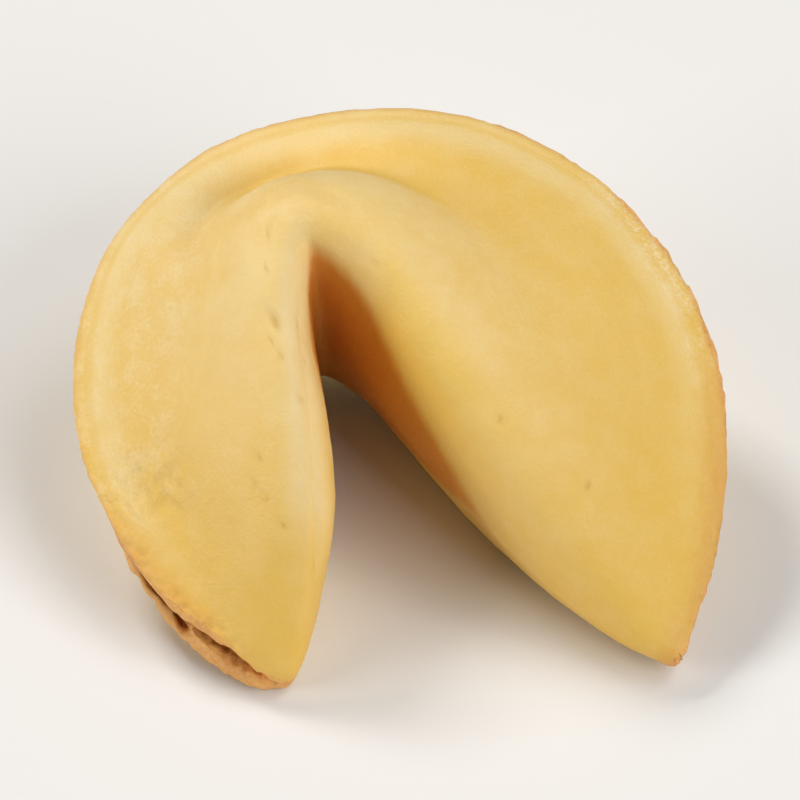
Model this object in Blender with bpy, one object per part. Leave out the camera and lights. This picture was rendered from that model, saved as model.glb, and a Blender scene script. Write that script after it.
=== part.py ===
# A fortune cookie: one thin round wafer, folded in half and then bent sharply over an edge.
# The first fold is the spine. The bend puts a straight crease across the middle of the spine, so that
# its two halves become horns with a notch between them, and the wafer puffs up into a hollow pocket.
#
# The wafer is swept as hoops. Each hoop starts on the spine, climbs over the pocket and ends on the rim.
#
# While the wafer is folded, X runs across, -Y points out of the notch and Z runs through both layers.
# The cookie is then turned as it lies, and pressed a little flat where it meets the ground.

import math
from dataclasses import dataclass

import bpy
import numpy as np

MM = 0.001

# The flat wafer
WAFER_RADIUS = 45.5 * MM
WALL = 1.8 * MM
CREASE_OFFSET = -5.4 * MM       # the crease lies this far from the wafer's middle, to the left

# The rim
RIM_DEPTH = 20.6 * MM           # from the crease to the rim straight behind it
RIM_HALF_GAP = 0.75 * MM        # from the plane between the layers to the middle of each wall
RIM_WALL_SHARE = 0.6            # the wall thins to this share of itself at the rim
RIM_THINNING = 5.0 * MM         # how far in from the rim the wall thins
LOWER_RIM_OUT = 0.5 * MM        # how far the lower layer's rim sticks out past the upper one

# The pocket
CREST_AT_CREASE = 16.7 * MM     # height of the pocket's wall over the plane between the layers
CREST_AT_TIP = 0.2 * MM
CREST_HOLD = 1.9                # above 1 the height lasts longer along the horn before it falls
HOOP_BOW = 2.2 * MM             # how far the top of a hoop leans towards the tip of its horn
BRIM_BEHIND_CREASE = 7.4 * MM   # width of the flat brim where both layers were pressed together
LOWER_BRIM_SHARE = 0.55
BRIM_SHOULDER = (0.08, 0.06)    # how much fuller the pocket is where it drops to a brim
WIDE_BRIM = 0.3                 # from this share of the hoop's depth on, a brim makes a full shoulder
WIDEST_BRIM = 0.5               # share of the hoop's depth that a brim never passes
LIP_POINT = 0.7                 # below 1 the lip is fuller at its ends

# Where things change, as spans of a horn's length counted from the crease (0) to its tip (1)
SECTION_TURNS_TO_TIPS = (0.45, 0.95)
BRIM_WIDENS = (0.08, 0.52)
BOW_GROWS = (0.0, 0.15)
BOW_SHRINKS = (0.5, 1.0)
BOW_SHRINKS_BY = 0.6
MOUTH_OPENS = (0.74, 0.98)
LIP_GROWS = (0.84, 0.97)
LOWER_RIM_SHIFTS = (0.0, 0.3)    # from the crease's LOWER_RIM_OUT to the horn's own
LOWER_RIM_ENDS = (0.85, 0.97)

# How it lies
REST_TURN = 23.0                # degrees about the vertical, which point the notch straight to the front
REST_TILT = 24.5                # degrees that the plane between the layers climbs towards the back
PRESSED_FLAT = 2.6 * MM         # height of the underside that the ground has pressed flat
PRESS_BLEND = 0.3 * MM          # softness of the edge of that flat

# Facets
STATIONS = 22                   # hoops on each horn
STATION_SPREAD = 1.4            # above 1 the hoops crowd together at the crease
HOOP_STEPS = 17                 # facets from the spine to the rim on each layer
CROWDING = 0.35                 # above 0 the facets crowd together where a hoop bends
SPINE_SAMPLES = 1200
RIM_SAMPLES = 800
HOOP_SAMPLES = 240
HOOP_CONTROLS = 9


@dataclass
class Horn:
    side: int                   # -1 left, +1 right
    section: tuple              # the pocket partway along the horn, as the sections below
    section_span: tuple         # span over which the crease's section turns into that one
    bend: float                 # radius of the spine's bend at the crease, to the middle of the wall
    notch_lean: float           # degrees that the spine leans away from -Y just past the bend
    tip_lean: float             # and at the tip
    lean_growth: float          # how late along the horn the lean grows
    lobe_width: float           # widest reach of the rim from the crease's line
    lobe_length: float          # semi-axis of the rim's ellipse along Y
    brim: float                 # width of the brim out on the lobe
    brim_fades: tuple           # span over which the pocket swells into the brim and hides it
    lower_rim_out: float        # as LOWER_RIM_OUT, further out along the horn
    reach: float                # share of the horn that is left, short of 1 where its tip is blunt
    gape: float                 # how far the mouth at the tip is open
    lip: float                  # how far the lower layer sticks out of the mouth


HORNS = (
    Horn(side=-1, section=((0, 0), (-0.06, 0.50), (-0.10, 0.94), (0.13, 1.20), (0.62, 0.96)),
         section_span=(0.0, 0.10), bend=2.2 * MM, notch_lean=13.5, tip_lean=45.5,
         lean_growth=1.55, lobe_width=28.5 * MM, lobe_length=33.6 * MM,
         brim=14.1 * MM, brim_fades=(0.0, 0.46), lower_rim_out=-1.0 * MM,
         reach=0.955, gape=1.8 * MM, lip=1.6 * MM),
    Horn(side=1, section=((0, 0), (0, 0.50), (0, 1.00), (0.50, 1.12), (0.76, 0.66)),
         section_span=(0.0, 0.32), bend=1.5 * MM, notch_lean=12, tip_lean=38,
         lean_growth=2.1, lobe_width=38.1 * MM, lobe_length=41.2 * MM,
         brim=15.8 * MM, brim_fades=(0.05, 0.65), lower_rim_out=0.8 * MM,
         reach=0.985, gape=0.0, lip=0.0),
)

# A guide section is the control points of a soft curve, as (share of the hoop's depth, share of its
# height). The upper layer has one at the crease and one on each horn, the lower layer has one for all,
# and both layers share one near the tip.
# The brim's section is (share of the brim's width, height, height where the brim has faded).
CREASE_SECTION = ((0, 0), (0.05, 0.42), (0.11, 0.92), (0.28, 1.12), (0.65, 0.92))
LOWER_SECTION = ((0, 0), (0, 0.46), (0, 0.96), (0.24, 1.13), (0.62, 0.86))
TIP_SECTION = ((0, 0), (0, 0.60), (0.08, 1.10), (0.45, 1.20), (0.85, 0.70))
BRIM_SECTION = ((0, 0.10, 0.70), (0.25, 0.02, 0.58), (0.62, 0.08, 0.34))

CRUST_COLOUR = (0.80, 0.57, 0.24, 1.0)
CRUST_ROUGHNESS = 0.62


def smooth(t):
    t = np.clip(t, 0.0, 1.0)
    return t * t * (3.0 - 2.0 * t)


def over_span(span, along):
    # 0 before the span, 1 after it and a soft rise between them
    return smooth((along - span[0]) / (span[1] - span[0]))


def running_length(*coordinates):
    steps = np.sqrt(sum(np.diff(c) ** 2 for c in coordinates))
    return np.concatenate([[0.0], np.cumsum(steps)])


def spline_weights(samples, controls, degree=3):
    # Weights of each control point along a clamped B-spline (de Boor's recursion).
    knots = np.concatenate([np.zeros(degree), np.linspace(0, 1, controls - degree + 1), np.ones(degree)])
    u = np.linspace(0, 1 - 1e-9, samples)
    weights = [((u >= knots[i]) & (u < knots[i + 1])).astype(float) for i in range(len(knots) - 1)]
    for d in range(1, degree + 1):
        raised = []
        for i in range(len(knots) - 1 - d):
            span, next_span = knots[i + d] - knots[i], knots[i + d + 1] - knots[i + 1]
            rise = (u - knots[i]) / span if span > 0 else 0.0
            fall = (knots[i + d + 1] - u) / next_span if next_span > 0 else 0.0
            raised.append(rise * weights[i] + fall * weights[i + 1])
        weights = raised
    return np.array(weights).T


def spine_curve(horn):
    # The spine turns round the bend, then runs out along the horn and leans more and more.
    length = WAFER_RADIUS - horn.side * CREASE_OFFSET
    s = np.linspace(0, length, SPINE_SAMPLES)
    bend_length = horn.bend * math.radians(90 - horn.notch_lean)
    along_horn = np.clip((s - bend_length) / (length - bend_length), 0, 1)
    lean = horn.notch_lean + (horn.tip_lean - horn.notch_lean) * along_horn ** horn.lean_growth
    heading = np.where(s < bend_length, math.pi / 2 - s / horn.bend, np.radians(lean))
    middle = (heading[1:] + heading[:-1]) / 2
    step = s[1]
    x = np.concatenate([[0.0], np.cumsum(np.sin(middle)) * step])
    y = np.concatenate([[0.0], np.cumsum(-np.cos(middle)) * step])
    return s, horn.side * x, y


def rim_curve(horn, tip_x, tip_y):
    # An arc of an ellipse from behind the crease round to the tip, eased onto the tip itself.
    centre_y = RIM_DEPTH - horn.lobe_length
    end = math.atan2(abs(tip_x) / horn.lobe_width, (tip_y - centre_y) / horn.lobe_length)
    turn = np.linspace(0, end, RIM_SAMPLES)
    x = horn.lobe_width * np.sin(turn)
    y = centre_y + horn.lobe_length * np.cos(turn)
    ease = smooth(turn / end)
    x = x + (abs(tip_x) - x[-1]) * ease
    y = y + (tip_y - y[-1]) * ease
    length = running_length(x, y)
    return length / length[-1], horn.side * x, y


def guide_section(horn, along, layer):
    from_crease = (CREASE_SECTION, horn.section) if layer > 0 else (LOWER_SECTION, LOWER_SECTION)
    crease, own, tip = (np.array(section, float) for section in (*from_crease, TIP_SECTION))
    to_own = over_span(horn.section_span, along)
    to_tip = over_span(SECTION_TURNS_TO_TIPS, along)
    return (crease * (1 - to_own) + own * to_own) * (1 - to_tip) + tip * to_tip


def brim_width(horn, along, depth, layer):
    width = BRIM_BEHIND_CREASE + (horn.brim - BRIM_BEHIND_CREASE) * over_span(BRIM_WIDENS, along)
    if layer < 0:
        width *= LOWER_BRIM_SHARE
    return min(width, WIDEST_BRIM * depth)


def hoop_controls(horn, along, depth, layer):
    # Out on the lobe the brim fades, and the pocket swells all the way to the rim instead.
    brim = brim_width(horn, along, depth, layer)
    foot = depth - brim
    faded = over_span(horn.brim_fades, along)
    guide = guide_section(horn, along, layer)
    guide[4] += np.array(BRIM_SHOULDER) * min(brim / (WIDE_BRIM * depth), 1)
    on_brim = [(foot + place * brim, flat + (full - flat) * faded) for place, flat, full in BRIM_SECTION]
    return np.array([*(guide[:3] * (depth, 1)), *(guide[3:] * (foot, 1)), *on_brim, (depth, 0)])


def hoop(horn, along, depth, layer, weights):
    # One hoop of a layer, as distances out from the spine, up, and sideways towards the tip.
    controls = hoop_controls(horn, along, depth, layer)
    curve_out, curve_up = (weights @ controls).T
    curve_up /= curve_up.max()
    fallen = (along / horn.reach) ** CREST_HOLD
    crest = CREST_AT_CREASE + (CREST_AT_TIP - CREST_AT_CREASE) * fallen
    bow = HOOP_BOW * over_span(BOW_GROWS, along) * (1 - BOW_SHRINKS_BY * over_span(BOW_SHRINKS, along))
    gape = horn.gape * over_span(MOUTH_OPENS, along)
    rim_height = RIM_HALF_GAP + (gape if layer > 0 else 0.0)
    # The two walls meet at the spine in a small round fold, one half gap in radius.
    inward = 1 - np.clip(curve_out / RIM_HALF_GAP, 0, 1)
    fold = RIM_HALF_GAP * np.sqrt(1 - inward ** 2)
    lift = fold + (rim_height - RIM_HALF_GAP) * smooth(curve_out / depth)
    path = (curve_out, crest * curve_up + lift, bow * curve_up)
    # The facets crowd together where the hoop bends.
    turning = np.unwrap(np.arctan2(np.gradient(path[1]), np.gradient(path[0])))
    share = running_length(*path) / depth + CROWDING * running_length(turning)
    even = np.linspace(0, share[-1], HOOP_STEPS + 1)
    return [np.interp(even, share, values) for values in path]


def station(horn, number, curves, weights):
    # The hoops of both layers at one place along a horn, as one row of points from rim to rim.
    spine_s, spine_x, spine_y, rim_share, rim_x, rim_y = curves
    horn_length = WAFER_RADIUS - horn.side * CREASE_OFFSET
    turn = (number / STATIONS) ** STATION_SPREAD * math.pi / 2
    along = math.sin(turn) * horn.reach
    from_middle = horn.side * CREASE_OFFSET + along * horn_length
    half_chord = math.sqrt(WAFER_RADIUS ** 2 - from_middle ** 2)
    rim_turn = math.acos(from_middle / WAFER_RADIUS) / math.acos(horn.side * CREASE_OFFSET / WAFER_RADIUS)
    start = np.array([np.interp(along * horn_length, spine_s, c) for c in (spine_x, spine_y)])
    end = np.array([np.interp(1 - rim_turn, rim_share, c) for c in (rim_x, rim_y)])
    depth = float(np.hypot(*(end - start)))
    outward = (end - start) / depth
    tipward = np.array([outward[1], -outward[0]]) * horn.side
    lower_out = LOWER_RIM_OUT + (horn.lower_rim_out - LOWER_RIM_OUT) * over_span(LOWER_RIM_SHIFTS, along)
    lower_depth = depth + lower_out * (1 - over_span(LOWER_RIM_ENDS, along))
    lip = horn.lip * over_span(LIP_GROWS, along)
    row = []
    for layer, layer_depth in ((1, depth), (-1, lower_depth)):
        out, up, sideways = hoop(horn, along, layer_depth, layer, weights)
        if layer < 0:
            sideways = sideways + lip * np.sin(np.clip(out / layer_depth, 0, 1) * math.pi) ** LIP_POINT
        plan = start + np.outer(out, outward) + np.outer(sideways, tipward)
        across = half_chord * running_length(out, up) / running_length(out, up)[-1]
        from_rim = WAFER_RADIUS - np.hypot(from_middle, across)
        row.append(np.column_stack([plan, layer * up, smooth(from_rim / RIM_THINNING)]))
    upper, lower = row
    return np.concatenate([lower[::-1], upper[1:]])


def folded_wafer():
    weights = spline_weights(HOOP_SAMPLES, HOOP_CONTROLS)
    rows = {}
    for horn in HORNS:
        s, x, y = spine_curve(horn)
        curves = (s, x, y) + rim_curve(horn, x[-1], y[-1])
        for number in range(STATIONS + 1):
            rows[horn.side * number] = station(horn, number, curves, weights)
    return np.array([rows[number] for number in sorted(rows)])


def turned_to_rest(points):
    turn, tilt = math.radians(REST_TURN), math.radians(REST_TILT)
    x, y, z = np.moveaxis(points, -1, 0)
    x, y = x * math.cos(turn) - y * math.sin(turn), x * math.sin(turn) + y * math.cos(turn)
    y, z = y * math.cos(tilt) - z * math.sin(tilt), y * math.sin(tilt) + z * math.cos(tilt)
    return np.stack([x, y, z], axis=-1)


def pressed_flat(points):
    # Whatever would reach below the ground is pushed up onto it, with a soft edge.
    ground = points[..., 2].min() + PRESSED_FLAT
    over = (points[..., 2] - ground) / PRESS_BLEND
    pressed = points.copy()
    pressed[..., 2] = ground + PRESS_BLEND * np.logaddexp(0, over)
    return pressed


def sheet_mesh(name, grid):
    rows, columns = grid.shape[:2]
    faces = []
    for i in range(rows - 1):
        for j in range(columns - 1):
            corner = i * columns + j
            faces.append((corner, corner + columns, corner + columns + 1, corner + 1))
    mesh = bpy.data.meshes.new(name)
    mesh.from_pydata(grid[:, :, :3].reshape(-1, 3).tolist(), [], faces)
    mesh.shade_smooth()
    mesh.update()
    return mesh


def crust_material():
    material = bpy.data.materials.new("baked_wafer")
    material.use_nodes = True
    shader = material.node_tree.nodes["Principled BSDF"]
    shader.inputs["Base Color"].default_value = CRUST_COLOUR
    shader.inputs["Roughness"].default_value = CRUST_ROUGHNESS
    shader.inputs["Metallic"].default_value = 0.0
    return material


def stand_over_origin(thing):
    # Put the lowest point on the ground and the middle of the cookie over the origin.
    graph = bpy.context.evaluated_depsgraph_get()
    points = np.array([tuple(vertex.co) for vertex in thing.evaluated_get(graph).data.vertices])
    low, high = points.min(axis=0), points.max(axis=0)
    thing.location = (-(low[0] + high[0]) / 2, -(low[1] + high[1]) / 2, -low[2])


def main():
    for thing in list(bpy.data.objects):
        bpy.data.objects.remove(thing)
    grid = folded_wafer()
    grid[:, :, :3] = pressed_flat(turned_to_rest(grid[:, :, :3]))
    cookie = bpy.data.objects.new("cookie", sheet_mesh("cookie", grid))
    bpy.context.scene.collection.objects.link(cookie)
    cookie.data.materials.append(crust_material())
    full_wall = cookie.vertex_groups.new(name="full_wall")
    for index, weight in enumerate(grid[:, :, 3].ravel()):
        full_wall.add([index], float(weight), "REPLACE")
    wall = cookie.modifiers.new("wall", "SOLIDIFY")
    wall.vertex_group = full_wall.name
    wall.thickness_vertex_group = RIM_WALL_SHARE
    wall.thickness = WALL
    wall.offset = 0
    wall.use_even_offset = False
    wall.use_rim = True
    stand_over_origin(cookie)


main()
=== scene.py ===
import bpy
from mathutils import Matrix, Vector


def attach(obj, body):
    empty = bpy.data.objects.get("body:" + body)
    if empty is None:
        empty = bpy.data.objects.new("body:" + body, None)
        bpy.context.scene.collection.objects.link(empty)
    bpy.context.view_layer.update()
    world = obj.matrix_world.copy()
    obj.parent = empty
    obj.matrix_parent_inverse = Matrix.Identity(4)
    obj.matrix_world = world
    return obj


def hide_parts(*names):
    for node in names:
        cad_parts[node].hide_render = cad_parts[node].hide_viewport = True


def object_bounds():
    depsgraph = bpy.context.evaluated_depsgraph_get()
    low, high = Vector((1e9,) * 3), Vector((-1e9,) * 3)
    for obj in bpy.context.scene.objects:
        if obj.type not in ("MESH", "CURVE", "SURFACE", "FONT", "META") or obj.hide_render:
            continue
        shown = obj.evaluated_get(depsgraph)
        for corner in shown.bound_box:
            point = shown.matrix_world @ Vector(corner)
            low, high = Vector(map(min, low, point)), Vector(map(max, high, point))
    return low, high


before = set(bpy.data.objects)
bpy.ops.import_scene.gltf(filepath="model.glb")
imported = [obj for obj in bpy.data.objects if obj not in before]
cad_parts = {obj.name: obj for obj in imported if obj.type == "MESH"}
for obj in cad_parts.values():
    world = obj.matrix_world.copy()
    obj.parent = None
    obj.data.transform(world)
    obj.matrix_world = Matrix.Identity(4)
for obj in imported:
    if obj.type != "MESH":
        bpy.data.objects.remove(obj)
cadBox = [list(corner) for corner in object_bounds()]

import math

import bpy
import numpy as np
from mathutils import Vector, noise

# A fortune cookie: one thin round wafer, folded in half and then bent sharply over an edge.
# The first fold is the spine. The bend is the crease, a straight line across the middle of the spine,
# and on each side of it the folded wafer becomes a horn. A notch lies between the horns.
#
# The wafer is swept as hoops, which start on the spine, climb over the pocket and end on the rim.
# Meanwhile the cookie lies flat: X runs across, -Y out of the notch, Z through both layers.

mm = 0.001
tiny = 1e-12                        # keeps a division away from zero

cookieSizes = {
    "waferRadius": 45.5 * mm,
    "wall": 1.8 * mm,
    "creaseOffset": -5.4 * mm,      # how far the crease lies from the wafer's middle
    "rimDepth": 20.6 * mm,          # from the crease to the rim straight behind it
    "rimHalfGap": 0.75 * mm,
    "rimWallShare": 0.6,            # the wall thins to this share of itself at the rim
    "rimThinning": 5.0 * mm,
    "lowerRimOut": 0.5 * mm,        # how far the lower layer's rim sticks out past the upper one
    "rimStray": 0.3 * mm,           # how far the rims wander in and out
    "rimStraySize": 7.0 * mm,
    "mouthStray": 0.7 * mm,         # the same round the broken mouth of the left tip
    "mouthStraySize": 2.4 * mm,
    "crestAtCrease": 16.7 * mm,
    "crestAtTip": 0.2 * mm,
    "crestHold": 1.9,               # above 1 the height lasts longer along the horn
    "hoopBow": 2.2 * mm,            # how far the top of a hoop leans towards the tip
    "brimBehindCrease": 7.4 * mm,
    "lowerBrimShare": 0.55,
    "brimShoulder": (0.08, 0.06),
    "wideBrim": 0.3,                # from this share of the depth on, a brim makes a full shoulder
    "widestBrim": 0.5,
    "lipPoint": 0.7,                # below 1 the lip is fuller at its ends
}

# where things change, as spans of a horn's length from the crease (0) to its tip (1)
spans = {
    "sectionTurnsToTips": (0.45, 0.95),
    "brimWidens": (0.08, 0.52),
    "bowGrows": (0.0, 0.15),
    "bowShrinks": (0.5, 1.0),
    "bowShrinksBy": 0.6,
    "mouthOpens": (0.74, 0.98),
    "lipGrows": (0.84, 0.97),
    "lowerRimShifts": (0.0, 0.3),   # from the crease's lowerRimOut to the horn's own
    "lowerRimEnds": (0.85, 0.97),
    "mouthRoughens": (0.72, 0.84),
    "evenedAlong": (0.40, 0.60),    # the walls of the notch are evened out up to here
}

evenedPastEdge = (0 * mm, 3 * mm)   # and up to here past their upper edge

leftHorn = {
    "side": -1,
    "section": ((0, 0), (-0.06, 0.50), (-0.10, 0.94), (0.13, 1.20), (0.62, 0.96)),
    "sectionSpan": (0.0, 0.10),     # span over which the crease's section turns into that one
    "bend": 2.2 * mm,               # radius of the spine's bend at the crease
    "notchLean": 13.5,              # degrees that the spine leans away from -Y past the bend
    "tipLean": 45.5,
    "leanGrowth": 1.55,             # how late along the horn the lean grows
    "lobeWidth": 28.5 * mm,
    "lobeLength": 33.6 * mm,
    "brim": 14.1 * mm,
    "brimFades": (0.0, 0.40),       # span over which the pocket swells into the brim and hides it
    "lowerRimOut": -1.0 * mm,
    "reach": 0.955,
    "gape": 1.8 * mm,
    "lip": 1.6 * mm,
}

rightHorn = {
    "side": 1,
    "section": ((0, 0), (0, 0.50), (0, 1.00), (0.50, 1.12), (0.76, 0.66)),
    "sectionSpan": (0.0, 0.32),
    "bend": 1.5 * mm,
    "notchLean": 12,
    "tipLean": 38,
    "leanGrowth": 2.1,
    "lobeWidth": 38.1 * mm,
    "lobeLength": 41.2 * mm,
    "brim": 15.8 * mm,
    "brimFades": (0.05, 0.65),
    "lowerRimOut": 0.8 * mm,
    "reach": 0.985,
    "gape": 0.0,
    "lip": 0.0,
}

# control points of soft curves, as shares of a hoop's depth and height
creaseSection = ((0, 0), (0.05, 0.42), (0.11, 0.92), (0.28, 1.12), (0.65, 0.92))
lowerSection = ((0, 0), (0, 0.46), (0, 0.96), (0.24, 1.13), (0.62, 0.86))
tipSection = ((0, 0), (0, 0.60), (0.08, 1.10), (0.45, 1.20), (0.85, 0.70))
brimSection = ((0, 0.10, 0.70), (0.25, 0.02, 0.58), (0.62, 0.08, 0.34))

facets = {
    "stations": 106,                # hoops on each horn
    "stationSpread": 1.15,          # above 1 the hoops crowd together at the crease
    "hoopSteps": 106,               # facets from the spine to the rim on each layer
    "spineSamples": 1200,
    "rimSamples": 800,
    "curveSamples": 400,
    "controls": 9,                  # control points of a hoop
    "crowding": 0.1,                # above 0 the facets crowd together where a hoop bends
    "edgeSteps": 5,                 # facets round the edge of the wall
    "normalRounds": 4,              # rounds of evening out of the normals
    "foldRounds": 10,               # and of the notch's walls
}


def smooth(t):
    t = np.clip(t, 0.0, 1.0)
    return t * t * (3.0 - 2.0 * t)


def overSpan(span, along):
    return smooth((along - span[0]) / (span[1] - span[0]))


def runningLength(*coordinates):
    steps = np.sqrt(sum(np.diff(c) ** 2 for c in coordinates))
    return np.concatenate([[0.0], np.cumsum(steps)])


def splineWeights(samples, controls, degree=3):
    # the weight of each control point along a clamped B-spline
    knots = np.concatenate([np.zeros(degree), np.linspace(0, 1, controls - degree + 1), np.ones(degree)])
    u = np.linspace(0, 1 - 1e-9, samples)
    weights = [((u >= knots[i]) & (u < knots[i + 1])).astype(float) for i in range(len(knots) - 1)]
    for d in range(1, degree + 1):
        raised = []
        for i in range(len(knots) - 1 - d):
            span = knots[i + d] - knots[i]
            nextSpan = knots[i + d + 1] - knots[i + 1]
            rise = (u - knots[i]) / span if span > 0 else 0.0
            fall = (knots[i + d + 1] - u) / nextSpan if nextSpan > 0 else 0.0
            raised.append(rise * weights[i] + fall * weights[i + 1])
        weights = raised
    return np.array(weights).T


def spineCurve(horn):
    # round the bend, then out along the horn, leaning more and more
    sizes = cookieSizes
    length = sizes["waferRadius"] - horn["side"] * sizes["creaseOffset"]
    s = np.linspace(0, length, facets["spineSamples"])
    bendLength = horn["bend"] * math.radians(90 - horn["notchLean"])
    alongHorn = np.clip((s - bendLength) / (length - bendLength), 0, 1)
    lean = horn["notchLean"] + (horn["tipLean"] - horn["notchLean"]) * alongHorn ** horn["leanGrowth"]
    heading = np.where(s < bendLength, math.pi / 2 - s / horn["bend"], np.radians(lean))
    middle = (heading[1:] + heading[:-1]) / 2
    x = np.concatenate([[0.0], np.cumsum(np.sin(middle)) * s[1]])
    y = np.concatenate([[0.0], np.cumsum(-np.cos(middle)) * s[1]])
    return s, horn["side"] * x, y


def rimCurve(horn, tipX, tipY):
    # an arc of an ellipse from behind the crease round to the tip, eased onto the tip itself
    centreY = cookieSizes["rimDepth"] - horn["lobeLength"]
    end = math.atan2(abs(tipX) / horn["lobeWidth"], (tipY - centreY) / horn["lobeLength"])
    turn = np.linspace(0, end, facets["rimSamples"])
    x = horn["lobeWidth"] * np.sin(turn)
    y = centreY + horn["lobeLength"] * np.cos(turn)
    ease = smooth(turn / end)
    x = x + (abs(tipX) - x[-1]) * ease
    y = y + (tipY - y[-1]) * ease
    length = runningLength(x, y)
    return length / length[-1], horn["side"] * x, y


def guideSection(horn, along, layer):
    fromCrease = (creaseSection, horn["section"]) if layer > 0 else (lowerSection, lowerSection)
    crease, own, tip = (np.array(section, float) for section in (*fromCrease, tipSection))
    toOwn = overSpan(horn["sectionSpan"], along)
    toTip = overSpan(spans["sectionTurnsToTips"], along)
    return (crease * (1 - toOwn) + own * toOwn) * (1 - toTip) + tip * toTip


def brimWidth(horn, along, depth, layer):
    behind = cookieSizes["brimBehindCrease"]
    width = behind + (horn["brim"] - behind) * overSpan(spans["brimWidens"], along)
    if layer < 0:
        width *= cookieSizes["lowerBrimShare"]
    return min(width, cookieSizes["widestBrim"] * depth)


def hoopControls(horn, along, depth, layer):
    # out on the lobe the brim fades, and the pocket swells all the way to the rim instead
    brim = brimWidth(horn, along, depth, layer)
    foot = depth - brim
    faded = overSpan(horn["brimFades"], along)
    guide = guideSection(horn, along, layer)
    guide[4] += np.array(cookieSizes["brimShoulder"]) * min(brim / (cookieSizes["wideBrim"] * depth), 1)
    onBrim = [(foot + place * brim, flat + (swollen - flat) * faded) for place, flat, swollen in brimSection]
    return np.array([*(guide[:3] * (depth, 1)), *(guide[3:] * (foot, 1)), *onBrim, (depth, 0)])


def hoop(horn, along, depth, layer, weights):
    # one hoop of a layer, as distances out from the spine, up, and sideways towards the tip
    sizes = cookieSizes
    curveOut, curveUp = (weights @ hoopControls(horn, along, depth, layer)).T
    curveUp /= curveUp.max()
    fallen = (along / horn["reach"]) ** sizes["crestHold"]
    crest = sizes["crestAtCrease"] + (sizes["crestAtTip"] - sizes["crestAtCrease"]) * fallen
    bow = sizes["hoopBow"] * overSpan(spans["bowGrows"], along)
    bow *= 1 - spans["bowShrinksBy"] * overSpan(spans["bowShrinks"], along)
    gape = horn["gape"] * overSpan(spans["mouthOpens"], along)
    halfGap = sizes["rimHalfGap"]
    rimHeight = halfGap + (gape if layer > 0 else 0.0)
    inward = 1 - np.clip(curveOut / halfGap, 0, 1)     # the walls meet at the spine in a small round fold
    fold = halfGap * np.sqrt(1 - inward ** 2)
    lift = fold + (rimHeight - halfGap) * smooth(curveOut / depth)
    path = (curveOut, crest * curveUp + lift, bow * curveUp)
    turning = np.unwrap(np.arctan2(np.gradient(path[1]), np.gradient(path[0])))
    share = runningLength(*path) / depth + facets["crowding"] * runningLength(turning)
    even = np.linspace(0, share[-1], facets["hoopSteps"] + 1)
    return [np.interp(even, share, values) for values in path]


def strayAt(place, which):
    # the noise is zero where all three numbers are whole, so the last two never are
    return noise.noise(Vector((place, 0.37 + which, 0.71)))


def station(horn, number, curves, weights):
    # both layers' hoops at one place along a horn: a row of points from rim to rim
    sizes = cookieSizes
    spineS, spineX, spineY, rimShare, rimX, rimY = curves
    radius, offset = sizes["waferRadius"], horn["side"] * sizes["creaseOffset"]
    hornLength = radius - offset
    turn = (number / facets["stations"]) ** facets["stationSpread"] * math.pi / 2
    along = math.sin(turn) * horn["reach"]
    fromMiddle = offset + along * hornLength
    halfChord = math.sqrt(radius ** 2 - fromMiddle ** 2)
    rimTurn = math.acos(fromMiddle / radius) / math.acos(offset / radius)
    start = np.array([np.interp(along * hornLength, spineS, c) for c in (spineX, spineY)])
    end = np.array([np.interp(1 - rimTurn, rimShare, c) for c in (rimX, rimY)])
    depth = float(np.hypot(*(end - start)))
    outward = (end - start) / depth
    tipward = np.array([outward[1], -outward[0]]) * horn["side"]
    lowerOut = sizes["lowerRimOut"]
    lowerOut += (horn["lowerRimOut"] - lowerOut) * overSpan(spans["lowerRimShifts"], along)
    lowerDepth = depth + lowerOut * (1 - overSpan(spans["lowerRimEnds"], along))
    lip = horn["lip"] * overSpan(spans["lipGrows"], along)
    mouth = overSpan(spans["mouthRoughens"], along) * (horn["gape"] > 0)
    place = horn["side"] * fromMiddle
    row = []
    for layer, layerDepth in ((1, depth), (-1, lowerDepth)):
        layerDepth += sizes["rimStray"] * strayAt(place / sizes["rimStraySize"], layer)
        layerDepth += sizes["mouthStray"] * mouth * strayAt(place / sizes["mouthStraySize"], layer)
        out, up, sideways = hoop(horn, along, layerDepth, layer, weights)
        if layer < 0:
            bulge = np.sin(np.clip(out / layerDepth, 0, 1) * math.pi) ** sizes["lipPoint"]
            sideways = sideways + lip * bulge
        plan = start + np.outer(out, outward) + np.outer(sideways, tipward)
        length = runningLength(out, up)
        flatX = np.full_like(length, place)
        flatY = layer * halfChord * length / length[-1]
        steep = np.flatnonzero((np.diff(up) > np.diff(out))[:np.argmax(up)])
        pastEdge = length - length[steep[-1] + 1 if len(steep) else 0]
        row.append(np.column_stack([plan, layer * up, flatX, flatY, np.full_like(length, along), pastEdge]))
    upper, lower = row
    return np.concatenate([lower[::-1], upper[1:]])


def flatFields(grid):
    # where each point lies on the flat wafer, how far along its horn, and how far past the notch's edge
    return np.moveaxis(grid[:, :, 3:], -1, 0)


def foldedWafer():
    # rows run from the left tip to the right one, columns from the lower rim to the upper one
    weights = splineWeights(facets["curveSamples"], facets["controls"])
    rows = {}
    for horn in (leftHorn, rightHorn):
        s, x, y = spineCurve(horn)
        curves = (s, x, y) + rimCurve(horn, x[-1], y[-1])
        for number in range(facets["stations"] + 1):
            rows[horn["side"] * number] = station(horn, number, curves, weights)
    return np.array([rows[number] for number in sorted(rows)])


def evenedOut(grid, rounds):
    # each point moves towards its neighbours, which keeps tight folds clean
    for axis in (0, 1) * rounds:
        last = grid.shape[axis] - 1
        before = np.take(grid, np.maximum(np.arange(last + 1) - 1, 0), axis=axis)
        after = np.take(grid, np.minimum(np.arange(last + 1) + 1, last), axis=axis)
        grid = (before + 2 * grid + after) / 4
    return grid


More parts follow.
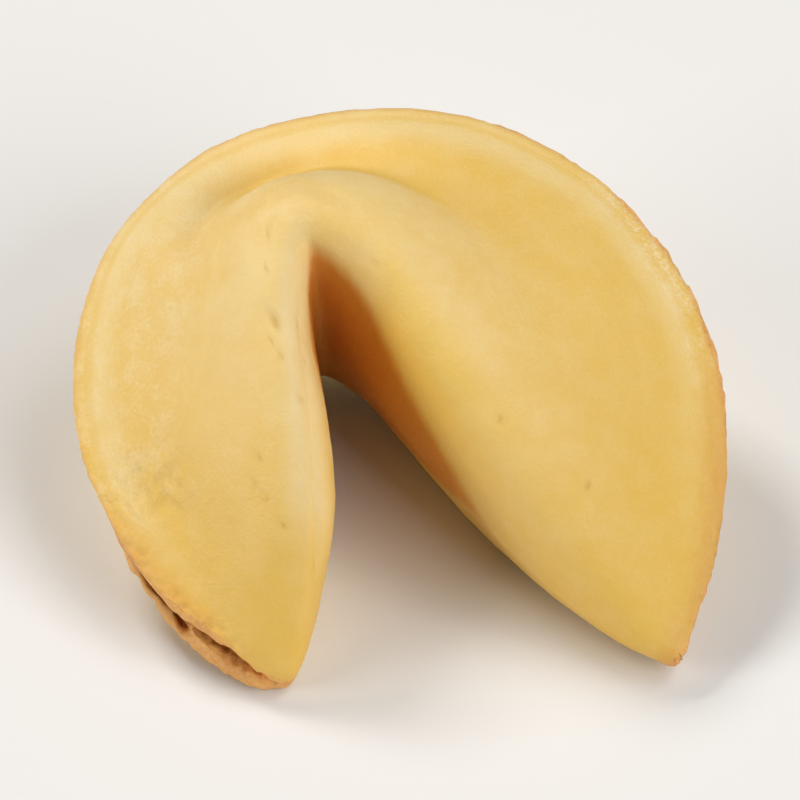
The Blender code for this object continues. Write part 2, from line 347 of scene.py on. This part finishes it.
def gridNormals(points):
    alongRows = np.gradient(points, axis=0)
    alongColumns = np.gradient(points, axis=1)
    normals = np.cross(alongRows, alongColumns)
    normals /= np.linalg.norm(normals, axis=2, keepdims=True) + tiny
    normals = evenedOut(normals, facets["normalRounds"])
    normals /= np.linalg.norm(normals, axis=2, keepdims=True) + tiny
    return normals


def noiseField(points, size, seed):
    shift = Vector((seed * 7.31, seed * 3.17, seed * 5.83))
    values = [noise.noise(Vector(point) / size + shift) for point in points.reshape(-1, 3)]
    return np.array(values).reshape(points.shape[:-1])


restPose = {
    "turn": 23.0,                   # degrees about the vertical, which point the notch to the front
    "tilt": 24.5,                   # degrees that the plane between the layers climbs towards the back
    "pressedFlat": 2.6 * mm,        # height of the underside that the ground has pressed flat
    "pressBlend": 0.3 * mm,
}


def turnedToRest(points):
    turn, tilt = math.radians(restPose["turn"]), math.radians(restPose["tilt"])
    x, y, z = np.moveaxis(points, -1, 0)
    x, y = x * math.cos(turn) - y * math.sin(turn), x * math.sin(turn) + y * math.cos(turn)
    y, z = y * math.cos(tilt) - z * math.sin(tilt), y * math.sin(tilt) + z * math.cos(tilt)
    return np.stack([x, y, z], axis=-1)


def pressedFlat(points):
    ground = points[..., 2].min() + restPose["pressedFlat"]
    over = (points[..., 2] - ground) / restPose["pressBlend"]
    pressed = points.copy()
    pressed[..., 2] = ground + restPose["pressBlend"] * np.logaddexp(0, over)
    return pressed


crustRelief = {
    "swell": 0.22 * mm,             # slow unevenness of the whole wafer
    "swellSize": 14 * mm,
    "lumps": 0.09 * mm,
    "lumpSize": 4.2 * mm,
    "grain": 0.035 * mm,
    "grainSize": 1.1 * mm,
    "rimCrumb": 0.25 * mm,          # how far the crumbly rim strays in and out
    "rimCrumbSize": 1.1 * mm,
    "rimRidge": 0.14 * mm,          # a fine raised line right at the rim
    "rimRidgeWidth": 0.8 * mm,
    "rimRough": 0.10 * mm,          # and how uneven the crust is beside it
    "rimRoughWidth": 2.0 * mm,
    "roughAtMouth": 3.0,            # this many times more in the broken mouth
    "wornRim": 2.0,                 # this many times more crumb and unevenness on the worn right side
    "wornPlace": (20 * mm, 30 * mm),
    "mouthThick": 0.9 * mm,         # how much the crumbly layers swell in the broken mouth
    "mouthFill": 0.4,               # at most this share of the way to the middle between the layers
    "mouthCrumb": 0.9,              # unevenness of that swelling
    "mouthCrumbSize": 1.0 * mm,     # of the rim's unevenness too
    "tornSize": 0.9 * mm,
    "groove": 0.22 * mm,            # a soft groove beside the left horn's edge
    "groovePlace": 4.4 * mm,        # past the edge
    "grooveWidth": 1.5 * mm,
    "grooveEnds": (0.15, 0.55),
    "step": 0.26 * mm,              # the crust drops a little beyond the left horn's top
    "stepFrom": (12.5 * mm, 14.2 * mm),
    "stepTo": (15.0 * mm, 23.0 * mm),
    "stepStarts": (0.10, 0.22),
    "stepEnds": (0.30, 0.60),
    "wrinkles": 0.30 * mm,          # a patch of short wrinkles on the left horn
    "wrinkleSize": 1.2 * mm,
    "wrinkleSharpness": 2.5,
    "wrinklePlace": (-34.5 * mm, 20.5 * mm),
    "wrinklePatch": 5.0 * mm,
    "wrinkleReach": 1.2,            # how many times that radius they take to fade away
}

# burst bubbles on the upper layer, in loose rows across the flat wafer and out from its fold
crustPits = {
    "rows": (                       # from, to, how many, size and depth
        ((-8 * mm, 19 * mm), (-30 * mm, 11 * mm), 11, 0.38 * mm, 0.14 * mm),  # beside the left horn's edge
        ((4 * mm, 15 * mm), (30 * mm, 8 * mm), 3, 0.40 * mm, 0.24 * mm),      # far apart on the right horn
    ),
    "stray": 6.5 * mm,              # how far they wander from their row
    "strayPace": 1.37,              # how fast that changes from one to the next
    "largestAt": 0.25,              # one large pit on the first row, at this share of it
    "largestSize": 0.90 * mm,
    "largestDepth": 0.50 * mm,
}


def pitPlaces():
    pits = crustPits
    start, end = (np.array(place) for place in pits["rows"][0][:2])
    places = [(*(start + (end - start) * pits["largestAt"]), pits["largestSize"], pits["largestDepth"])]
    for row, (start, end, count, size, depth) in enumerate(pits["rows"]):
        start, end = np.array(start), np.array(end)
        for number in range(count):
            stray = np.array([strayAt(number * pits["strayPace"], row + which) for which in (3, 5)])
            x, y = start + (end - start) * number / (count - 1) + pits["stray"] * stray
            places.append((x, y, size, depth))
    return places


def pittedBy(flatX, flatY):
    # how far the pits sink the crust, and how deep in a pit each point is from 0 to 1
    sunk = np.zeros_like(flatX)
    share = np.zeros_like(flatX)
    for x, y, size, depth in pitPlaces():
        near = np.exp(-((flatX - x) ** 2 + (flatY - y) ** 2) / size ** 2)
        sunk += depth * near
        share = np.maximum(share, near)
    return sunk, share


def grooved(grid):
    # how far the groove, the step and the wrinkles of the left horn sink the crust
    relief = crustRelief
    flatX, flatY, along, pastEdge = flatFields(grid)
    groove = np.exp(-((pastEdge - relief["groovePlace"]) / relief["grooveWidth"]) ** 2)
    groove *= 1 - overSpan(relief["grooveEnds"], along)
    step = overSpan(relief["stepFrom"], pastEdge) * (1 - overSpan(relief["stepTo"], pastEdge))
    step *= overSpan(relief["stepStarts"], along) * (1 - overSpan(relief["stepEnds"], along))
    centre = relief["wrinklePlace"]
    patch = np.hypot(flatX - centre[0], flatY - centre[1]) / relief["wrinklePatch"]
    creases = noiseField(grid[:, :, :3], relief["wrinkleSize"], 5)
    wrinkles = smooth(relief["wrinkleReach"] - patch) * smooth(0.5 - creases * relief["wrinkleSharpness"])
    sunk = relief["groove"] * groove + relief["step"] * step + relief["wrinkles"] * wrinkles
    return sunk * (flatX < 0) * (flatY > 0)


def crustBumps(grid, middle, fromRim, mouth, worn):
    # how far the crust stands out from a plain wafer, without its pits
    relief = crustRelief
    bumps = relief["swell"] * noiseField(middle, relief["swellSize"], 1)
    bumps += relief["lumps"] * noiseField(middle, relief["lumpSize"], 2)
    bumps += relief["grain"] * noiseField(middle, relief["grainSize"], 3)
    bumps -= grooved(grid)
    bumps += relief["rimRidge"] * np.exp(-(fromRim / relief["rimRidgeWidth"]) ** 2)
    rough = relief["rimRough"] * (1 + relief["roughAtMouth"] * mouth + relief["wornRim"] * worn)
    rough *= np.exp(-(fromRim / relief["rimRoughWidth"]) ** 2)
    return bumps + rough * noiseField(middle, relief["mouthCrumbSize"], 8)


def mouthCrumbs(grid, middle, mouth):
    # how far the torn layers swell into the mouth
    relief = crustRelief
    swell = np.minimum(relief["mouthThick"], relief["mouthFill"] * np.abs(grid[:, :, 2])) * mouth
    return swell * (1 + relief["mouthCrumb"] * noiseField(middle, relief["mouthCrumbSize"], 6))


def loopRound(rows, columns):
    # the grid's edge as one closed loop of (row, column)
    bottom = [(0, j) for j in range(columns - 1)]
    right = [(i, columns - 1) for i in range(rows - 1)]
    top = [(rows - 1, j) for j in range(columns - 1, 0, -1)]
    left = [(i, 0) for i in range(rows - 1, 0, -1)]
    return bottom + right + top + left


def rimRings(at, middle, normals, half, outer, inner, mouth, worn):
    # loops of points that carry the wall round its rim, from the outer side to the inner one
    relief = crustRelief
    rows, columns = middle.shape[:2]
    inward = np.clip(at[0], 1, rows - 2), np.clip(at[1], 1, columns - 2)
    rimOut = middle[at] - middle[inward]
    rimOut -= normals[at] * np.sum(rimOut * normals[at], axis=1)[:, None]
    rimOut /= np.linalg.norm(rimOut, axis=1)[:, None] + tiny
    crumb = relief["rimCrumb"] * noiseField(middle[at], relief["rimCrumbSize"], 4)
    crumb *= 1 + mouth[at] + relief["wornRim"] * worn[at]
    edgeMiddle, edgeHalf = (outer[at] + inner[at]) / 2, (outer[at] - inner[at]) / 2
    rings = []
    for step in range(1, facets["edgeSteps"]):
        angle = math.pi * step / facets["edgeSteps"]
        ring = edgeMiddle + edgeHalf * math.cos(angle)
        torn = relief["rimCrumb"] * noiseField(ring, relief["tornSize"], 7) * mouth[at]
        rings.append(ring + rimOut * math.sin(angle) * (half[at] + (crumb + torn)[:, None]))
    return rings


def wallFaces(rows, columns, loop, ringCount):
    # the outer side, the inner side turned over, and bands round the rim
    count = rows * columns
    faces = []
    for i in range(rows - 1):
        for j in range(columns - 1):
            corner = i * columns + j
            face = (corner, corner + columns, corner + columns + 1, corner + 1)
            faces.append(face)
            faces.append(tuple(count + k for k in reversed(face)))
    outerLoop = [i * columns + j for i, j in loop]
    bands = [outerLoop]
    bands += [range(2 * count + k * len(loop), 2 * count + (k + 1) * len(loop)) for k in range(ringCount)]
    bands.append([count + k for k in outerLoop])
    for band, nextBand in zip(bands, bands[1:]):
        for k in range(len(loop)):
            after = (k + 1) % len(loop)
            faces.append((band[k], band[after], nextBand[after], nextBand[k]))
    return faces


def addCookie():
    sizes = cookieSizes
    grid = foldedWafer()
    rows, columns = grid.shape[:2]
    flatX, flatY, along, pastEdge = flatFields(grid)
    fromRim = sizes["waferRadius"] - np.hypot(flatX, flatY)
    mouth = overSpan(spans["mouthRoughens"], along) * (flatX < 0)
    worn = overSpan(crustRelief["wornPlace"], flatX)

    evened = (1 - overSpan(evenedPastEdge, pastEdge)) * (1 - overSpan(spans["evenedAlong"], along))
    middle = grid[:, :, :3]
    middle = middle + evened[..., None] * (evenedOut(middle, facets["foldRounds"]) - middle)
    middle = pressedFlat(turnedToRest(middle))
    normals = gridNormals(middle)
    wallShare = sizes["rimWallShare"]
    wallShare = wallShare + (1 - wallShare) * smooth(fromRim / sizes["rimThinning"])
    half = sizes["wall"] * wallShare[..., None] / 2
    sunk, pitShare = pittedBy(flatX, flatY)
    bumps = crustBumps(grid, middle, fromRim, mouth, worn) - sunk
    outer = middle + normals * (half + bumps[..., None])
    inner = middle - normals * (half + mouthCrumbs(grid, middle, mouth)[..., None])

    loop = loopRound(rows, columns)
    at = tuple(np.array(loop).T)
    rings = rimRings(at, middle, normals, half, outer, inner, mouth, worn)
    points = np.concatenate([outer.reshape(-1, 3), inner.reshape(-1, 3), *rings])
    low, high = points.min(axis=0), points.max(axis=0)
    points -= ((low[0] + high[0]) / 2, (low[1] + high[1]) / 2, low[2])

    mesh = bpy.data.meshes.new("fortuneCookie")
    mesh.from_pydata(points.tolist(), [], wallFaces(rows, columns, loop, len(rings)))
    mesh.validate()
    mesh.shade_smooth()
    count = rows * columns
    rimCount = len(points) - 2 * count
    fields = {
        "fromRim": np.concatenate([fromRim.ravel(), fromRim.ravel(), np.zeros(rimCount)]),
        "inside": np.concatenate([np.zeros(count), np.ones(count), np.full(rimCount, 0.5)]),
    }
    onGrid = {"lower": flatY < 0, "along": along, "across": flatX, "pastEdge": pastEdge, "pit": pitShare}
    for name, values in onGrid.items():
        fields[name] = np.concatenate([values.ravel(), values.ravel(), np.tile(values[at], len(rings))])
    for name, values in fields.items():
        attribute = mesh.attributes.new(name, "FLOAT", "POINT")
        attribute.data.foreach_set("value", values.astype(np.float32))
    cookie = bpy.data.objects.new("fortuneCookie", mesh)
    bpy.context.scene.collection.objects.link(cookie)
    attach(cookie, "root")
    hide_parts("cookie")
    return cookie


class Wire:
    # one output socket; arithmetic on it adds Math nodes
    def __init__(self, finish, socket):
        self.finish = finish
        self.socket = socket

    def math(self, operation, *terms):
        return self.finish.node("ShaderNodeMath", {"operation": operation}, dict(enumerate(terms)))

    def __add__(self, other):
        return self.math("ADD", self, other)

    def __radd__(self, other):
        return self.math("ADD", other, self)

    def __sub__(self, other):
        return self.math("SUBTRACT", self, other)

    def __rsub__(self, other):
        return self.math("SUBTRACT", other, self)

    def __mul__(self, other):
        return self.math("MULTIPLY", self, other)

    def __rmul__(self, other):
        return self.math("MULTIPLY", other, self)


class Finish:
    # a material, and the one way in which its nodes are made
    def __init__(self, name):
        self.material = bpy.data.materials.new(name)
        self.material.use_nodes = True
        self.tree = self.material.node_tree
        self.shader = self.tree.nodes["Principled BSDF"]

    def node(self, kind, settings, sockets, output=0):
        made = self.tree.nodes.new(kind)
        for name, value in settings.items():
            setattr(made, name, value)
        for name, value in sockets.items():
            self.plug(made.inputs[name], value)
        return Wire(self, made.outputs[output])

    def plug(self, socket, value):
        if isinstance(value, Wire):
            self.tree.links.new(value.socket, socket)
        else:
            socket.default_value = value

    def noise(self, size, detail, roughness):
        objectPlace = self.node("ShaderNodeTexCoord", {}, {}, output=3)
        sockets = {"Vector": objectPlace, "Scale": 1 / size, "Detail": detail, "Roughness": roughness}
        return self.node("ShaderNodeTexNoise", {}, sockets)

    def field(self, name):
        return self.node("ShaderNodeAttribute", {"attribute_name": name}, {}, output=2)

    def rise(self, value, span):
        # 0 before the span, 1 past it and a soft rise along it
        settings = {"interpolation_type": "SMOOTHSTEP", "clamp": True}
        sockets = {"Value": value, "From Min": span[0], "From Max": span[1]}
        return self.node("ShaderNodeMapRange", settings, sockets)

    def fall(self, value, span):
        return 1 - self.rise(value, span)

    def band(self, value, span):
        # rises from the first number to the second, stays, and falls from the third to the fourth
        return self.rise(value, span[:2]) * self.fall(value, span[2:])

    def mix(self, share, first, second):
        return self.node("ShaderNodeMix", {"data_type": "RGBA"}, {0: share, 6: first, 7: second}, output=2)


crustColours = {
    "gold": (0.815, 0.548, 0.165, 1),
    "paleGold": (0.865, 0.645, 0.275, 1),
    "deepGold": (0.770, 0.460, 0.050, 1),
    "cream": (0.900, 0.760, 0.480, 1),
    # painted warm shade for the notch's right wall beside the fold
    "amberShade": (0.820, 0.500, 0.040, 1),
    "pitGold": (0.560, 0.330, 0.030, 1),
    "brown": (0.660, 0.300, 0.080, 1),
    "crumb": (0.950, 0.500, 0.150, 1),
    # painted shade: this dark brown stands in for the shade deep in the notch's fold
    "paintedFoldShade": (0.670, 0.225, 0.006, 1),
}

crustShares = {                     # how much of its colour each tint has where it is fullest
    "mottle": 0.6,
    "grain": 0.3,
    "deepTips": 0.8,
    "rimBand": 0.55,
    # the valley's deeper gold is partly the crust's own tone, partly painted shade
    "valleyToneAndShade": 0.6,
    # the crest's cream is partly the crust's pale tone, partly a painted highlight
    "crest": 0.30,
    "leftBand": 0.22,
    "speckle": 0.08,
    "wornRim": 0.7,
    "rimLine": 0.35,
    "rimBrown": 0.22,
    "lowerBrown": 0.55,
    "tipBrown": 0.45,
    "pits": 0.7,
    # the share beside the fold is painted warm shade
    "shadeBesideFold": 0.6,
    # the fold's share is painted shade
    "fold": 0.85,
    "inside": 0.9,
}

crustZones = {                      # the spans over which each tint rises or falls
    "mottle": (0.30, 0.72),
    "grain": (0.52, 0.72),
    "speckle": (0.35, 0.75),
    "deepTips": (0.20, 0.95),
    "rimBand": (0.5 * mm, 1.5 * mm, 2.5 * mm, 5.0 * mm),
    "rimBandEnds": (0.75, 0.95),
    # spans of the valley's deeper gold, partly its own tone and partly painted shade
    "valleyToneAndShade": (3 * mm, 6 * mm, 10 * mm, 14 * mm),
    "valleyToneAndShadeEnds": (0.35, 0.75),
    "valleyToneAndShadeStarts": (-14 * mm, -6 * mm),
    # spans of the crest's cream, partly pale crust and partly painted highlight
    "crest": (-5 * mm, -2 * mm, 0.5 * mm, 3.0 * mm),
    "paleAndLitCrestEnds": (0.50, 0.70),
    "paleAndLitCrestStarts": (3 * mm, 9 * mm),
    "leftBandStarts": (8 * mm, 16 * mm),
    "leftBand": (14 * mm, 20 * mm),
    "wornRimStarts": (20 * mm, 30 * mm),
    "wornRimEnds": (0.75, 0.88),
    "wornRim": (1 * mm, 3 * mm),
    "rimLine": (0.7 * mm, 1.1 * mm, 1.3 * mm, 2.0 * mm),
    "rimBrown": (0 * mm, 0.5 * mm),
    "lowerBrown": (0 * mm, 2.5 * mm),
    "tipBrownStarts": (0.78, 0.95),
    "tipBrown": (0.3 * mm, 3.5 * mm),
    # spans of the painted warm shade beside the fold
    "shadeBesideFold": (-7 * mm, 0 * mm),
    "shadeBesideFoldStarts": (0 * mm, 5 * mm),
    "shadeBesideFoldEnds": (0.30, 0.60),
    # the fold's span is where painted shade darkens the notch
    "fold": (-0.5 * mm, 3.2 * mm),
    "foldShadeEnds": (0.40, 0.75),
    "foldShadeSinksLeft": (4 * mm, 9 * mm),
    "crumb": (0.35, 0.65),
    "rougher": (0.3, 0.7),
}

crustFinish = {
    "mottle": (9 * mm, 3, 0.5),     # size, detail and roughness of the noise
    "patches": (3.2 * mm, 4, 0.6),
    "grain": (0.55 * mm, 3, 0.65),
    "speckle": (0.38 * mm, 4, 0.7),
    "mottleStray": 0.5,             # how far the patches shift each of these spans
    "speckleStray": 0.9,
    "crumbStray": 0.8,
    "rimBrownStray": 0.8 * mm,
    "tipBrownStray": 3 * mm,
    "deepTipsStray": 0.5,           # and the mottling this one
    "foldShadeSinks": 18 * mm,           # how much deeper the painted shade of the fold starts at the tips
    "foldShadeSinksLeft": 3 * mm,        # and all along the left horn
    "grainHeight": 0.7,
    "patchHeight": 0.8,
    "speckleHeight": 0.5,
    "roughness": 0.48,
    "roughnessRange": 0.2,
    "bumpStrength": 0.7,
    "bumpHeight": 0.16 * mm,
}


def bakedCrust():
    finish = Finish("bakedCrust")
    colours, shares, zones, values = crustColours, crustShares, crustZones, crustFinish
    rise, fall, band, mix = finish.rise, finish.fall, finish.band, finish.mix
    fromRim, inside, lower, along, across, pastEdge, pit = (
        finish.field(name) for name in ("fromRim", "inside", "lower", "along", "across", "pastEdge", "pit"))
    leftwards, intoNotch = 0 - across, 0 - pastEdge
    mottle, patches, grain, speckle = (
        finish.noise(*values[name]) for name in ("mottle", "patches", "grain", "speckle"))
    uneven = patches - 0.5
    speckled = rise(speckle + uneven * values["speckleStray"], zones["speckle"])

    mottled = rise(mottle + uneven * values["mottleStray"], zones["mottle"])
    colour = mix(mottled * shares["mottle"], colours["gold"], colours["paleGold"])
    colour = mix(rise(grain, zones["grain"]) * shares["grain"], colour, colours["paleGold"])
    deepTips = rise(along + (mottle - 0.5) * values["deepTipsStray"], zones["deepTips"])
    colour = mix(deepTips * shares["deepTips"], colour, colours["deepGold"])
    rimBand = band(fromRim, zones["rimBand"]) * fall(along, zones["rimBandEnds"])
    colour = mix(rimBand * shares["rimBand"], colour, colours["paleGold"])
    # deeper gold in the valley between the ridge and the brim: partly the crust's own tone, partly painted
    # shade of the valley
    valleyToneAndShade = band(fromRim, zones["valleyToneAndShade"]) * fall(along, zones["valleyToneAndShadeEnds"])
    valleyToneAndShade = valleyToneAndShade * rise(across, zones["valleyToneAndShadeStarts"])
    colour = mix(valleyToneAndShade * shares["valleyToneAndShade"], colour, colours["deepGold"])

    # the left horn's crest is made cream: partly the crust's pale tone, partly a painted highlight
    crest = band(pastEdge, zones["crest"]) * fall(along, zones["paleAndLitCrestEnds"])
    crest = crest * rise(leftwards, zones["paleAndLitCrestStarts"])
    colour = mix(crest * shares["crest"], colour, colours["cream"])
    leftBand = rise(leftwards, zones["leftBandStarts"]) * rise(pastEdge, zones["leftBand"])
    colour = mix(speckled * (leftBand * shares["leftBand"] + shares["speckle"]), colour, colours["cream"])
    wornRim = rise(across, zones["wornRimStarts"]) * fall(along, zones["wornRimEnds"])
    wornRim = wornRim * fall(fromRim, zones["wornRim"]) * speckled
    colour = mix(wornRim * shares["wornRim"], colour, colours["cream"])

    rimLine = band(fromRim, zones["rimLine"])
    colour = mix(rimLine * shares["rimLine"], colour, colours["deepGold"])
    rimBrown = fall(fromRim + uneven * values["rimBrownStray"], zones["rimBrown"])
    colour = mix(rimBrown * shares["rimBrown"], colour, colours["brown"])
    lowerBrown = fall(fromRim, zones["lowerBrown"]) * lower
    colour = mix(lowerBrown * shares["lowerBrown"], colour, colours["brown"])
    tipBrown = fall(fromRim + uneven * values["tipBrownStray"], zones["tipBrown"])
    tipBrown = tipBrown * rise(along, zones["tipBrownStarts"])
    colour = mix(tipBrown * shares["tipBrown"], colour, colours["brown"])
    colour = mix(pit * pit * shares["pits"], colour, colours["pitGold"])

    # painted shade: warm amber on the notch's right wall beside the fold, for the deep golden shading there
    shadeBesideFold = rise(intoNotch, zones["shadeBesideFold"]) * rise(across, zones["shadeBesideFoldStarts"])
    shadeBesideFold = shadeBesideFold * fall(along, zones["shadeBesideFoldEnds"])
    colour = mix(shadeBesideFold * shares["shadeBesideFold"], colour, colours["amberShade"])
    # painted shade: deep in the notch the crust is darkened to brown, standing in for the fold's shade
    foldShadeStart = along * values["foldShadeSinks"]
    foldShadeStart = foldShadeStart + rise(leftwards, zones["foldShadeSinksLeft"]) * values["foldShadeSinksLeft"]
    fold = rise(intoNotch - foldShadeStart, zones["fold"]) * fall(along, zones["foldShadeEnds"])
    colour = mix(fold * shares["fold"], colour, colours["paintedFoldShade"])
    crumbs = rise(speckle + uneven * values["crumbStray"], zones["crumb"])
    crumb = mix(crumbs, colours["brown"], colours["crumb"])
    colour = mix(inside * shares["inside"], colour, crumb)

    roughness = values["roughness"] + rise(grain, zones["rougher"]) * values["roughnessRange"]
    height = grain * values["grainHeight"] + patches * values["patchHeight"]
    height = height + speckle * values["speckleHeight"]
    bumpSockets = {"Strength": values["bumpStrength"], "Distance": values["bumpHeight"], "Height": height}
    finish.plug(finish.shader.inputs["Base Color"], colour)
    finish.plug(finish.shader.inputs["Roughness"], roughness)
    finish.plug(finish.shader.inputs["Normal"], finish.node("ShaderNodeBump", {}, bumpSockets))
    return finish.material


print("folding the wafer")
cookie = addCookie()
print("baking the crust")
cookie.data.materials.append(bakedCrust())


studio = {
    "floorSize": 3.0,
    "floorColour": (0.82, 0.80, 0.77, 1),
    "floorRoughness": 0.8,
    "viewAzimuth": 0.0,             # degrees, 0 looks along +Y
    "viewElevation": 45.5,
    "viewDistance": 0.55,
    "lens": 249,
    "nearest": 0.01,                # the camera sees nothing nearer than this
    "lights": {                     # name: watts, size, place
        "key": (4.05, 0.25, (-0.42, 0.48, 0.70)),
        "top": (2.5, 0.50, (0.45, 0.10, 0.85)),
        "fill": (4.7, 0.60, (0.60, -0.45, 0.50)),
        "side": (4.3, 0.50, (-0.85, -0.30, 0.30)),
    },
    "skyColour": (1.0, 0.98, 0.95, 1),
    "skyStrength": 0.10,
    "aimBelow": 3.6 * mm,           # how far below the middle of the cookie the camera aims
}


def addFloor():
    side = studio["floorSize"] / 2
    corners = [(-side, -side, 0), (side, -side, 0), (side, side, 0), (-side, side, 0)]
    mesh = bpy.data.meshes.new("floor")
    mesh.from_pydata(corners, [], [(0, 1, 2, 3)])
    floor = bpy.data.objects.new("floor", mesh)
    bpy.context.scene.collection.objects.link(floor)
    finish = Finish("palePaint")
    finish.plug(finish.shader.inputs["Base Color"], studio["floorColour"])
    finish.plug(finish.shader.inputs["Roughness"], studio["floorRoughness"])
    floor.data.materials.append(finish.material)


def aim(thing, place, target):
    thing.location = place
    thing.rotation_euler = (Vector(target) - Vector(place)).to_track_quat("-Z", "Y").to_euler()


def addLights(target):
    for name, (watts, size, place) in studio["lights"].items():
        light = bpy.data.lights.new(name, "AREA")
        light.energy = watts
        light.size = size
        lamp = bpy.data.objects.new(name, light)
        bpy.context.scene.collection.objects.link(lamp)
        aim(lamp, place, target)
    world = bpy.data.worlds.new("sky")
    bpy.context.scene.world = world
    world.use_nodes = True
    background = world.node_tree.nodes["Background"]
    background.inputs["Color"].default_value = studio["skyColour"]
    background.inputs["Strength"].default_value = studio["skyStrength"]


def addCamera(target):
    azimuth, elevation = math.radians(studio["viewAzimuth"]), math.radians(studio["viewElevation"])
    back = Vector((math.sin(azimuth) * math.cos(elevation), -math.cos(azimuth) * math.cos(elevation),
                   math.sin(elevation)))
    data = bpy.data.cameras.new("camera")
    data.lens = studio["lens"]
    data.clip_start = studio["nearest"]
    camera = bpy.data.objects.new("camera", data)
    bpy.context.scene.collection.objects.link(camera)
    target = Vector(target) - studio["aimBelow"] * Vector((0, math.sin(elevation), math.cos(elevation)))
    aim(camera, target + back * studio["viewDistance"], target)
    bpy.context.scene.camera = camera
    bpy.context.scene.view_settings.view_transform = "Standard"


print("setting the stage")
middleOfCookie = (Vector(cadBox[0]) + Vector(cadBox[1])) / 2
addFloor()
addLights(middleOfCookie)
addCamera(middleOfCookie)
